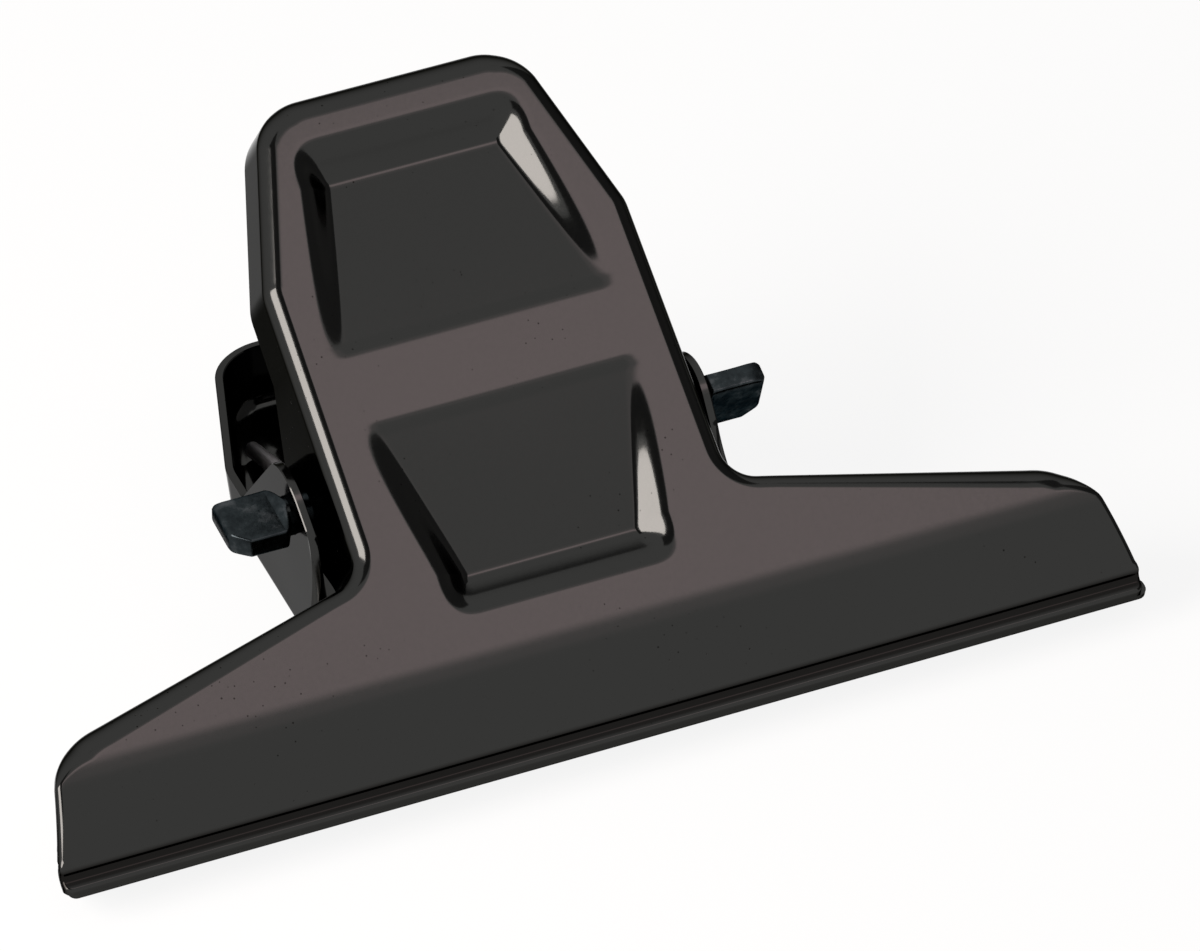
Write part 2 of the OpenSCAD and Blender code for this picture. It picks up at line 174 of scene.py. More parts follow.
# %% [markdown]
# ## From flat blank to bent jaw
# A point of the blank has three numbers: x across, s along from the start of the jaw's
# bend, and d, how far it lies inward from the outer face. Bending only changes where
# s leads: straight on the handle, round a broad bend on the jaw, down over a knuckle,
# back round a tight fold, and then straight again on the lip, which lies flat against
# the other plate's lip. A heading says how far the sheet has turned from flat.

# %% Bending
def inward(degrees):
    return (math.sin(math.radians(degrees)), math.cos(math.radians(degrees)))


def on_face(s):
    y, z, left = max(s, 0.0), 0.0, max(-s, 0.0)
    for (r, h0, h1), arc in zip(BENDS, ARCS):
        way = 1 if h1 > h0 else -1
        degrees = h0 + way * math.degrees(min(left, arc) / r)
        a, b = inward(h0), inward(degrees)
        y, z = y + way * r * (a[0] - b[0]), z + way * r * (a[1] - b[1])
        left -= arc
        if left <= 0:
            return y, z, degrees
    lean = math.radians(LEAN)
    return y - left * math.cos(lean), z - left * math.sin(lean), -LEAN


def bent(x, s, d):
    y, z, degrees = on_face(s)
    n = inward(degrees)
    return x, y + n[0] * d, z + n[1] * d


print("Headings of the jaw, bend by bend:", [round(on_face(-s)[2], 2)
                                             for s in (0, BULGE_S, BULGE_S + ARCS[1], -TIP_S)])


# %% [markdown]
# ## The pin, the bar and the hinge line
# Where the pin goes is known in the closed clip: how far from the tips of the lips, and
# how far to each side of the plane where the two jaws meet. One function finds that
# plane in a plate's own frame, and another turns a place beside it into a place there.
#
# The clip's origin lies below the bar between the thumb panels, so the lower plate's
# bend starts that far ahead of it, toward the lips, and the hinge line follows. A
# panel's deep end and its end at the bar are shares of the handle's length, and half the
# width of its floor at each of them is a share of the neck's width.

# %% Where the pin and the hinge line lie
def middle_plane():
    lean = math.radians(LEAN)
    ahead, n = (math.cos(lean), math.sin(lean)), inward(-LEAN)
    y, z = on_face(-sum(ARCS))[:2]
    half = SHEET + LIP_GAP / 2
    off = (y + n[0] * half) * n[0] + (z + n[1] * half) * n[1]
    return LIP_H - (y * ahead[0] + z * ahead[1]), off


def plate_at(u, v):
    mid_u, mid_v = middle_plane()
    lean, n = math.radians(LEAN), inward(-LEAN)
    return ((u - mid_u) * math.cos(lean) + (mid_v - v) * n[0],
            (u - mid_u) * math.sin(lean) + (mid_v - v) * n[1])


UPPER_PIN, LOWER_PIN = plate_at(PIN_U, PIN_V), plate_at(PIN_U, -PIN_V)
PANEL_SHARES = {"low": {"deep": 0.137, "bar": 0.4, "deep_w": 0.222, "bar_w": 0.327},
          "up": {"deep": 0.838, "bar": 0.555, "deep_w": 0.222, "bar_w": 0.338}}
BAR_MIDDLE = HANDLE_L * (PANEL_SHARES["low"]["bar"] + PANEL_SHARES["up"]["bar"]) / 2
REST_Y = -BAR_MIDDLE
HINGE = Vector((0, REST_Y + LOWER_PIN[0], LOWER_PIN[1]))
EAR_FACE_X = NECK_W / 2 + SHEET + (LOWER_PIN[1] - EDGE_R) * math.tan(math.radians(SPLAY))
print("The hinge line runs through", [round(v, 3) for v in HINGE])


# %% [markdown]
# ## The outline of the blank
# Half of the outline is walked from the lip to the handle's end as straight runs and
# round corners. Each point keeps its heading, so the turned edge knows which way is
# out. Points are close together, mostly a third of a millimetre, because a glossy
# surface shows every facet. The neck grows narrower toward the shoulder by a hair.

# %% Outline
TAPER_SHARE = 0.0075
WING_PITCH, FLANK_PITCH, HANDLE_PITCH, CREASE_POINTS = 0.32, 0.6, 0.3, 20


def toward(degrees):
    return math.cos(math.radians(degrees)), math.sin(math.radians(degrees))


def out_of(degrees):
    return math.sin(math.radians(degrees)), -math.cos(math.radians(degrees))


def rounded(p, h1, h2, r, step=5.0):
    way = 1 if h2 > h1 else -1
    reach = r * math.tan(math.radians(abs(h2 - h1) / 2))
    n1, t1 = out_of(h1), toward(h1)
    cx, cy = (p[i] - t1[i] * reach - way * r * n1[i] for i in (0, 1))
    count = max(2, math.ceil(abs(h2 - h1) / step))
    headings = [h1 + (h2 - h1) * j / count for j in range(count + 1)]
    return [(cx + way * r * out_of(h)[0], cy + way * r * out_of(h)[1], h) for h in headings]


def straight(a, b, pitch):
    length = math.hypot(b[0] - a[0], b[1] - a[1])
    count = max(1, math.floor(length / pitch))
    return [(mix(a[0], b[0], j / count), mix(a[1], b[1], j / count), a[2])
            for j in range(1, count)]


def outline(neck_w, head_w, wing_w):
    x0, x1, xn, xh = JAW_W / 2, wing_w / 2, neck_w / 2, head_w / 2
    xs = xn - NECK_W * TAPER_SHARE
    wing_top = (x1, WING_TOP_Y)
    h_end = 90 + math.degrees(math.atan2(x0 - x1, BULGE_S))
    h_wing = 90 + math.degrees(math.atan2(x1 - xn, NECK_Y - wing_top[1]))
    h_neck = 90 + math.degrees(math.atan2(xn - xs, SHOULDER_Y - NECK_Y))
    h_head = 90 + math.degrees(math.atan2(xs - xh, HANDLE_L - SHOULDER_Y))
    lip = rounded((x0, TIP_S), 0, 90, LIP_CORNER_R, step=15)
    end = rounded((x0, -BULGE_S), 90, h_end, END_R)
    crease = [(x0, mix(lip[-1][1], end[0][1], j / CREASE_POINTS), 90)
              for j in range(1, CREASE_POINTS)]
    wing = rounded(wing_top, h_end, h_wing, WING_CORNER_R, step=4)
    neck = rounded((xn, NECK_Y), h_wing, h_neck, NECK_CORNER_R, step=4)
    shoulder = rounded((xs, SHOULDER_Y), h_neck, h_head, SHOULDER_R, step=3)
    head = rounded((xh, HANDLE_L), h_head, 180, HEAD_CORNER_R, step=4)
    return (lip + crease + end + straight(end[-1], wing[0], WING_PITCH) + wing
            + straight(wing[-1], neck[0], FLANK_PITCH) + neck
            + straight(neck[-1], shoulder[0], HANDLE_PITCH) + shoulder
            + straight(shoulder[-1], head[0], HANDLE_PITCH) + head)


print("Points on one side of the outline:", len(outline(NECK_W, HEAD_W, WING_W)))


# %% [markdown]
# ## The turned edge
# Round the handle the press turns the sheet down into a deep skirt, and at the pin the
# skirt runs on into an ear, round about the pin and straight on both flanks. Along each
# wing the skirt fades out, and at the lips the sheet just ends in its cut edge. At the
# head and on the wings the bend between face and skirt is softer than at the neck.
#
# A point q of the outline is its x, its s and its heading, and these functions read from
# it how deep the edge reaches there and how round its bend is.

# %% Depth and radius of the turned edge
# The edge's radius on the lip and at the jaw's end, and the share of the bulge beyond
# which a point counts as lip
LIP_EDGE_R, END_EDGE_R, LIP_SHARE = 0.35, 0.6, 0.96
# Shares of a wing between which the deep skirt fades out
FADE_FROM_SHARE, FADE_TO_SHARE = 0.12, 0.85
# Shares of the neck's width beyond which a point is on a wing, and far out on it
WING_START_SHARE, FAR_OUT_SHARE = 0.6, 0.8
# Headings between which the head's edge grows soft, and below which a point that is far
# out lies on the jaw's end
SOFTER_FROM, SOFTER_TO, END_HEADING = 105, 155, 120
# How far to each side of the jaw's first bend the skirt blends, and a hair of depth
TIP_BLEND, HAIR = 2, 0.02


def ear_depth(q, neck_w, pin, flank):
    steep = math.radians(flank)
    brow = EAR_R * math.sin(steep)
    off = abs(q[1] - pin[0]) + 2 * max(0.0, q[0] - neck_w / 2)
    if off < brow:
        return pin[1] + math.sqrt(EAR_R ** 2 - off ** 2)
    return pin[1] + EAR_R * math.cos(steep) - (off - brow) * math.tan(steep)


def turned(q, neck_w):
    x, s, heading = q
    if s < 0 or (heading < END_HEADING and x > neck_w * FAR_OUT_SHARE):
        return 0.0
    span = (WING_W - neck_w) / 2
    return 1 - share(x, neck_w / 2 + span * FADE_FROM_SHARE, neck_w / 2 + span * FADE_TO_SHARE)


def on_lip(q):
    return q[1] < -BULGE_S * LIP_SHARE


def bend_radius(q, neck_w):
    x, s, heading = q
    if on_lip(q):
        return LIP_EDGE_R
    if x > neck_w * WING_START_SHARE:
        along_wing = mix(SOFT_EDGE_R, EDGE_R, turned(q, neck_w))
        return mix(END_EDGE_R, along_wing, share(s, -TIP_BLEND, TIP_BLEND))
    if s < SHOULDER_Y:
        return EDGE_R
    return mix(EDGE_R, SOFT_EDGE_R, share(heading, SOFTER_FROM, SOFTER_TO))


def edge_depth(q, neck_w, pin, flank):
    x, s = q[:2]
    ear = ear_depth(q, neck_w, pin, flank)
    if on_lip(q):
        return SHEET + HAIR
    if x > neck_w * WING_START_SHARE:
        along_wing = mix(SOFT_EDGE_R + END_EDGE_R, SKIRT, turned(q, neck_w))
        return max(ear, mix(TIP_SKIRT, along_wing, share(s, -TIP_BLEND, TIP_BLEND)))
    return max(SKIRT, ear)


print("An ear reaches", round(ear_depth((0, UPPER_PIN[0]), NECK_W, UPPER_PIN, UPPER_FLANK), 2),
      "mm below its plate's face")


# %% [markdown]
# ## The steps of the edge
# The edge is a few steps, each an inset from the outline and a depth below the face: a
# fine break at the sheared rim, the wall, and then a bend up to the face, a hair flatter
# than a quarter of a circle. One more step on each side of the outer bend keeps the flat
# parts flat when the surface is shaded smooth. The wall leans out by the skirt's slope.

# %% Steps of the edge
# The break at the rim, how flat the bend is, and how many steps it has on each side
RIM_BREAK, EDGE_POWER, BEND_STEPS, INNER_BEND_STEPS = 0.12, 1.16, 12, 5
# The least radius inside, and the steps beside the bend on the wall and on the face
INNER_R, WALL_STEP, FLAT_STEP = 0.3, 0.3, 0.25


def quarter(steps):
    return [math.radians(90 * j / steps) for j in range(steps + 1)]


def edge_steps(q, neck_w, pin, flank, slope, sloped_to):
    r, deep = bend_radius(q, neck_w), edge_depth(q, neck_w, pin, flank)
    wall = LIP_EDGE_R if on_lip(q) else SHEET
    inner_r = max(INNER_R, r - SHEET)
    inner_deep = min(inner_r, max(0.0, deep - SHEET - HAIR))
    tilt = math.tan(math.radians(slope * turned(q, neck_w)))
    rim = min(RIM_BREAK, (deep - SHEET) / 3)
    lean_out = -(min(deep, sloped_to) - r) * tilt
    lean_in = -(min(deep, sloped_to) - SHEET - inner_deep) * tilt
    near = min(WALL_STEP, (deep - rim - r) / 2)
    outer = [(lean_out + rim, deep), (lean_out, deep - rim), (-near * tilt, r + near)]
    outer += [(r * (1 - math.cos(a) ** EDGE_POWER), r * (1 - math.sin(a) ** EDGE_POWER))
              for a in quarter(BEND_STEPS)]
    outer += [(r + FLAT_STEP, 0.0)]
    inner = [(wall + lean_in - rim, deep), (wall + lean_in, deep - rim)]
    inner += [(wall + inner_r * (1 - math.cos(a)), SHEET + inner_deep * (1 - math.sin(a)))
              for a in quarter(INNER_BEND_STEPS)]
    inner += [(wall + inner_r + FLAT_STEP, SHEET)]
    return outer, inner


neck_side = (NECK_W / 2, SHOULDER_Y / 2, 90)
example = edge_steps(neck_side, NECK_W, UPPER_PIN, UPPER_FLANK, UPPER_SPLAY, SKIRT)
print("Steps of the edge, outside and inside:", [len(side) for side in example])


# %% [markdown]
# ## The thumb panels
# Each plate has two sunk panels, one each side of a flat bar. A panel's floor lies
# shallow at the bar and deepest at its far end, so it slopes and mirrors another part
# of the room than the face does: that is why the floors look dark. At the bar the floor
# runs up to a short ramp, almost level with the face.
#
# The wall between rim and floor has a broad soft bend at the rim and a tighter one at
# the floor. It is broadest at the deep end, and where two walls meet, their distances are
# combined so that the corner comes out rounded.

# %% Depth of the panels
# A panel's depth, and the breadth of its side walls, its end wall and its ramp
PANEL_DEPTH, PANEL_WALL, PANEL_END, PANEL_RAMP = 2.5, 4.4, 5.6, 1.7
# Shares at the bar: of the depth, of the side walls, and of the ramp beyond the floor
BAR_DEPTH_SHARE, BAR_WALL_SHARE, RAMP_OUT_SHARE = 0.07, 0.6, 0.8
# Shares of a wall that its two bends take, and how square the corners are: 2 is round
SOFT_RIM_SHARE, SOFT_FOOT_SHARE, CORNER_POWER = 0.5, 0.24, 3.0


def smooth(k):
    return k * k * (3 - 2 * k)


def wall_rise(k):
    height = 1 / (1 - (SOFT_RIM_SHARE + SOFT_FOOT_SHARE) / 2)
    if k < SOFT_RIM_SHARE:
        return height * k * k / (2 * SOFT_RIM_SHARE)
    if k > 1 - SOFT_FOOT_SHARE:
        return 1 - height * (1 - k) ** 2 / (2 * SOFT_FOOT_SHARE)
    return height * (k - SOFT_RIM_SHARE / 2)


def panel_by(s):
    return PANEL_SHARES["low"] if s < BAR_MIDDLE else PANEL_SHARES["up"]


def from_deep_and_bar(s):
    panel = panel_by(s)
    way = 1 if panel["bar"] > panel["deep"] else -1
    return way * (s - panel["deep"] * HANDLE_L), way * (panel["bar"] * HANDLE_L - s)


def floor_half_width(s):
    panel = panel_by(s)
    return NECK_W * mix(panel["deep_w"], panel["bar_w"],
                        share(s / HANDLE_L, panel["deep"], panel["bar"]))


def wall_breadth(s):
    from_deep, from_bar = from_deep_and_bar(s)
    k = share(from_bar, 0, from_bar + from_deep)
    return PANEL_WALL * mix(BAR_WALL_SHARE, 1.0, math.sqrt(k))


def panel_depth(x, s):
    from_deep, from_bar = from_deep_and_bar(s)
    across = max(0.0, (abs(x) - floor_half_width(s)) / wall_breadth(s))
    along = max(0.0, -from_deep / PANEL_END)
    up_wall = (across ** CORNER_POWER + along ** CORNER_POWER) ** (1 / CORNER_POWER)
    if up_wall >= 1:
        return 0.0
    to_deep = max(0.0, from_bar) / (from_bar + from_deep)
    depth = PANEL_DEPTH * mix(BAR_DEPTH_SHARE, 1.0, to_deep)
    ramp = share(from_bar, -PANEL_RAMP * RAMP_OUT_SHARE, PANEL_RAMP * (1 - RAMP_OUT_SHARE))
    return depth * smooth(ramp) * wall_rise(1 - up_wall)


deepest = panel_depth(0, PANEL_SHARES["low"]["deep"] * HANDLE_L)
print("Deepest point of a panel:", round(deepest, 2), "mm")


# %% [markdown]
# ## One closed mesh for a whole plate
# The outline's rings make the turned edge, inside and outside, and rows from one edge
# to the other make the face. The columns crowd together on the panel walls, where the
# form changes fast, and are few where the sheet is flat.

# %% Rows and rings of a plate
# Columns on a wall, more of them near its foot, and those on the floor beside the middle
WALL_COLUMNS, WALL_FOOT_SHARES, FLOOR_COLUMN_SHARES = 14, [0.04, 0.1], [0.25, 0.5, 0.8]
LEAST_FACE, FOOT_STEP = 0.5, 0.3


def columns(s, edge_x):
    wall = wall_breadth(s)
    rim = min(floor_half_width(s) + wall, edge_x - LEAST_FACE)
    foot = rim - wall
    inner = [foot * k for k in FLOOR_COLUMN_SHARES] + [foot - FOOT_STEP]
    places = [j / WALL_COLUMNS for j in range(WALL_COLUMNS + 1)] + WALL_FOOT_SHARES
    slope = [foot + wall * k for k in places]
    beyond = [rim + FLAT_STEP, mix(rim + FLAT_STEP, edge_x, 0.5)]
    right = sorted(inner + slope + beyond)
    return [-x for x in reversed(right)] + [0.0] + right


def face_rows(rim, steps, base):
    rows = []
    for q, step in zip(rim, steps):
        n = out_of(q[2])
        x, s = q[0] - n[0] * step[0], q[1] - n[1] * step[0]
        rows.append([bent(c, s, base + panel_depth(c, s)) for c in columns(s, x)])
    return rows


def ring(rim, steps, k):
    right, left = [], []
    for q, edge in zip(rim, steps):
        n, (inset, depth) = out_of(q[2]), edge[k]
        x, s = q[0] - n[0] * inset, q[1] - n[1] * inset
        right.append(bent(x, s, depth))
        left.append(bent(-x, s, depth))
    return right + left[::-1]


print("Points in a row across the face:", len(columns(0.0, JAW_W / 2)))


# %% [markdown]
# ## Faces, and the closed plate
# Faces fill the strips between neighbouring rings, and then the rows between the two
# sides of the last ring. The inner skin is made alike and its faces are turned round, so
# that every face looks out of the steel. Points that fall together are welded. The count
# of open edges and the volume then show that the result is a closed solid of 1 mm sheet,
# in the plate's own frame, with its outer face at zero. The lower plate's handle is a
# sheet's thickness broader on each side, because its ears go outside the upper ones.

# %% Faces, and the closed plate
WELD = 0.002


def strip(a, b, count):
    return [(a + j, a + (j + 1) % count, b + (j + 1) % count, b + j) for j in range(count)]


def turned_round(faces):
    return [face[::-1] for face in faces]


def face_between(rows, points, top_ring, rim_count):
    # The rows' points join the list, and each chain is one row with the ring's two ends.
    start, width, last = len(points), len(rows[0]), top_ring + 2 * rim_count - 1
    for row in rows[1:-1]:
        points += row
    chains = [[last - i, *range(start + (i - 1) * width, start + i * width), top_ring + i]
              for i in range(1, rim_count - 1)]
    faces = [(top_ring, last, *chains[0]),
             (top_ring + rim_count - 1, *chains[-1][::-1], top_ring + rim_count)]
    for low, high in zip(chains, chains[1:]):
        faces += [(low[c], low[c + 1], high[c + 1], high[c]) for c in range(width + 1)]
    return faces


def plate_mesh(name, neck_w, head_w, wing_w, pin, flank, slope, sloped_to):
    rim = outline(neck_w, head_w, wing_w)
    edges = [edge_steps(q, neck_w, pin, flank, slope, sloped_to) for q in rim]
    points, faces, rings = [], [], ([], [])
    for side in (0, 1):
        steps = [edge[side] for edge in edges]
        for k in range(len(steps[0])):
            rings[side].append(len(points))
            points += ring(rim, steps, k)
    outside, inside = rings
    for a, b in zip(outside, outside[1:]):
        faces += strip(a, b, 2 * len(rim))
    for a, b in zip([outside[0]] + inside, inside):
        faces += turned_round(strip(a, b, 2 * len(rim)))
    outer_rows = face_rows(rim, [edge[0][-1] for edge in edges], 0.0)
    faces += face_between(outer_rows, points, outside[-1], len(rim))
    inner_rows = face_rows(rim, [edge[1][-1] for edge in edges], SHEET)
    faces += turned_round(face_between(inner_rows, points, inside[-1], len(rim)))
    mesh = bpy.data.meshes.new(name)
    mesh.from_pydata([tuple(v * MM for v in p) for p in points], [], faces)
    return mesh


def solid_from(mesh):
    bm = bmesh.new()
    bm.from_mesh(mesh)
    bmesh.ops.remove_doubles(bm, verts=bm.verts, dist=WELD * MM)
    bmesh.ops.dissolve_degenerate(bm, edges=bm.edges, dist=WELD * MM / 2)
    bmesh.ops.recalc_face_normals(bm, faces=bm.faces)
    open_edges = sum(1 for e in bm.edges if len(e.link_faces) != 2)
    bm.to_mesh(mesh)
    volume = bm.calc_volume(signed=True)
    bm.free()
    print(f"{mesh.name}: {len(mesh.polygons)} faces, {open_edges} open edges, "
          f"{volume * 1e9:.0f} cubic mm")
    return mesh


upper_blank = solid_from(plate_mesh("upper_blank", NECK_W, HEAD_W, WING_W, UPPER_PIN,
                                    UPPER_FLANK, UPPER_SPLAY, SKIRT))
lower_blank = solid_from(plate_mesh("lower_blank", NECK_W + 2 * SHEET, HEAD_W + 2 * SHEET,
                                    LOWER_WING_W, LOWER_PIN, LOWER_FLANK, SPLAY,
                                    LOWER_PIN[1] + EAR_R))


# %% [markdown]
# ## Holes for the pin, and the plates in their places
# The real holes in a plate's two ears lie on one line for the pin, so they are cut as
# one straight bore. A Boolean modifier does it, and its result is turned into a plain
# mesh. The points along the fold behind the lip get a mark for painted shade: the finish
# reads it and paints the fold darker. The two jaws are a hair out of register, one to
# each side, as on any clip that is put together by machine. Edges sharper than 32 degrees
# are marked sharp, so the sheared rims stay crisp while the pressed bends stay smooth.

# %% Bore and place the plates
PLATE_SHARP_FROM, BORE_SIDES = 32, 64
# The painted shade mark is full within the first distance of the fold and gone at the second
PAINTED_SHADE_NEAR, PAINTED_SHADE_FAR = 0.75, 1.25
# How far each jaw lies to one side
LOWER_ASIDE, UPPER_ASIDE = 0.25, -0.3


def flattened(thing, name):
    bpy.context.view_layer.update()
    graph = bpy.context.evaluated_depsgraph_get()
    mesh = bpy.data.meshes.new_from_object(thing.evaluated_get(graph))
    mesh.name = name
    return mesh


def bore_tool(pin):
    bm, bore_r = bmesh.new(), (PIN_D / 2 + PIN_PLAY) * MM
    bmesh.ops.create_cone(bm, cap_ends=True, segments=BORE_SIDES, radius1=bore_r,
                          radius2=bore_r, depth=2 * NECK_W * MM)
    bmesh.ops.rotate(bm, verts=bm.verts, matrix=Matrix.Rotation(math.radians(90), 3, "Y"))
    bmesh.ops.translate(bm, verts=bm.verts, vec=(0, pin[0] * MM, pin[1] * MM))
    mesh = bpy.data.meshes.new("bore_tool")
    bm.to_mesh(mesh)
    bm.free()
    return link("bore_tool", mesh)


def bored(blank, pin):
    plate, tool = link(blank.name, blank), bore_tool(pin)
    cut = plate.modifiers.new("bore", "BOOLEAN")
    cut.operation, cut.solver, cut.object = "DIFFERENCE", "EXACT", tool
    mesh = flattened(plate, blank.name + "_bored")
    for scrap in (plate, tool):
        bpy.data.objects.remove(scrap)
    return mesh


# The mark says where the finish paints shade into the fold behind the lip
def mark_painted_fold_shade(mesh):
    fold = on_face(-BULGE_S - ARCS[1] - ARCS[2] / 2)
    marks = mesh.attributes.new("fold", "FLOAT", "POINT")
    for mark, vertex in zip(marks.data, mesh.vertices):
        away = math.hypot(vertex.co.y / MM - fold[0], vertex.co.z / MM - fold[1])
        mark.value = 1 - share(away, PAINTED_SHADE_NEAR, PAINTED_SHADE_FAR)


def finished_plate(name, blank, pin, place, aside, node, body):
    mesh = bored(blank, pin)
    mark_painted_fold_shade(mesh)
    for vertex in mesh.vertices:
        vertex.co.x += aside * MM * share(vertex.co.y / MM, NECK_Y, 0)
    mesh.transform(place)
    if place.determinant() < 0:
        mesh.flip_normals()
    mesh.set_sharp_from_angle(angle=math.radians(PLATE_SHARP_FROM))
    plate = link(name, mesh)
    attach(plate, body)
    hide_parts(node)
    print(f"{name}: {len(mesh.polygons)} faces")
    return plate


def in_metres(matrix):
    small = Matrix.Scale(MM, 4)
    return small @ matrix @ small.inverted()


TIP_UP = math.radians(2 * LEAN)
LOWER_PLACE = in_metres(Matrix.Translation((0, REST_Y, 0)))
UPPER_PLACE = in_metres(Matrix.Translation(HINGE) @ Matrix.Rotation(TIP_UP, 4, "X")
                        @ Matrix.Diagonal((1, 1, -1, 1))
                        @ Matrix.Translation((0, -UPPER_PIN[0], -UPPER_PIN[1])))
lower_jaw = finished_plate("lower_jaw", lower_blank, LOWER_PIN, LOWER_PLACE, LOWER_ASIDE,
                           "lower_plate", "base")
upper_jaw = finished_plate("upper_jaw", upper_blank, UPPER_PIN, UPPER_PLACE, UPPER_ASIDE,
                           "upper_plate", "jaw")


# %% [markdown]
# ## The cross pin
# The pin is a plain steel rod. Once it was through all four ears, each end was squashed
# flat in a small press so that it can't slip out. Squashing makes the end broad, thin and
# a little uneven. It is made as a stack of rings along the rod, from round to a rounded
# slab, which narrows toward its tip, more on one side than on the other.
#
# The two ends were squashed at different angles. A ring's points start further back by
# its end's twist, so the lines along the rod between the ends stay straight.

# %% Pin
# A flat end's length, width and thickness, its flare, and the bare rod beside the ear
PADDLE_L, PADDLE_W, PADDLE_T, FLARE_L, ROD_SHOWS = 7.3, 7.4, 2.8, 1.1, 0.35
# The cut corner: the share of the length where it starts, and of the width it takes
CUT_FROM_SHARE, CUT_SHARE = 0.72, 0.22
# Where the end narrows and by how much, the hollow in its faces, and its tip's rounding
NARROW_FROM, NARROW_BY, HOLLOW, TIP_L, TIP_SHARE = 5.5, 0.25, 0.12, 0.5, 0.55
# How square a ring is: 2 is a circle
ROUND_POWER, SLAB_POWER = 2.0, 10.0
RINGS, ROUND_POINTS, ROUND_SHARP_FROM = 40, 64, 40
LEFT_TWIST, RIGHT_TWIST = 360 / ROUND_POINTS, 20 * 360 / ROUND_POINTS
PIN_ROOT_X = EAR_FACE_X + ROD_SHOWS


def slab_ring(x, y0, y1, thick, power, twist):
    wide, middle, t = (y1 - y0) / 2, (y0 + y1) / 2, math.radians(twist)
    points = []
    for j in range(ROUND_POINTS):
        a = 2 * math.pi * j / ROUND_POINTS - t
        c, s = math.cos(a), math.sin(a)
        y = middle + wide * math.copysign(abs(c) ** (2 / power), c)
        z = thick / 2 * math.copysign(abs(s) ** (2 / power), s)
        points.append((x, y * math.cos(t) - z * math.sin(t), y * math.sin(t) + z * math.cos(t)))
    return points


def paddle_rings(twist):
    rings = []
    for j in range(RINGS + 1):
        along = PADDLE_L * j / RINGS
        k = smooth(share(along, 0, FLARE_L))
        half = mix(PIN_D / 2, PADDLE_W / 2, k)
        half -= NARROW_BY * share(along, NARROW_FROM, PADDLE_L) ** 2
        cut = share(along, PADDLE_L * CUT_FROM_SHARE, PADDLE_L) * PADDLE_W * CUT_SHARE
        thick = mix(PIN_D, PADDLE_T, k) - HOLLOW * math.sin(math.pi * along / PADDLE_L)
        tip = math.sqrt(1 - share(along, PADDLE_L - TIP_L, PADDLE_L) ** 2 * TIP_SHARE)
        rings.append(slab_ring(PIN_ROOT_X + along, -half + cut, half, thick * tip,
                               mix(ROUND_POWER, SLAB_POWER, k), twist))
    return rings


def pin_mesh():
    left = [[(-x, y, z) for x, y, z in slab] for slab in reversed(paddle_rings(LEFT_TWIST))]
    rings = left + paddle_rings(RIGHT_TWIST)
    points = [tuple(MM * (v + h) for v, h in zip(p, HINGE)) for slab in rings for p in slab]
    starts = range(0, len(points), ROUND_POINTS)
    faces = [face for a, b in zip(starts, starts[1:]) for face in strip(a, b, ROUND_POINTS)]
    faces += [tuple(range(ROUND_POINTS)), tuple(range(starts[-1], len(points)))]
    mesh = bpy.data.meshes.new("pin")
    mesh.from_pydata(points, [], faces)
    return solid_from(mesh)


rod = pin_mesh()
rod.shade_smooth()
rod.set_sharp_from_angle(angle=math.radians(ROUND_SHARP_FROM))
cross_pin = link("cross_pin", rod)
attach(cross_pin, "base")
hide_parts("axle_pin")


# %% [markdown]
# ## The wound springs
# Two torsion springs sit side by side on the pin. Each is one length of round wire: a
# straight leg that bears on the lower plate, a little over five curls, and a leg that
# bears on the upper plate. That is a rule, not a drawing, so Geometry Nodes make it: a
# row of points is counted along the wire, each point is placed by its number, and a
# circle is swept along the line. A leg leaves the curls on their tangent, which is where
# wire goes.

# %% Spring tree
# The wire, the curls' radius and spacing, and their count before the legs' angles
WIRE_D, COIL_R, COIL_PITCH, COIL_COUNT = 1.9, 4.4, 2.5, 6
# Where the outer leg lies, where both legs end along their plates, and the gap there
LEG_X, OUTER_LEG_Y, INNER_LEG_Y, LEG_GAP = 16.2, 56.0, 46.0, 0.1
STEPS_A_TURN, LEG_STEPS, WIRE_SIDES = 28, 12, 20


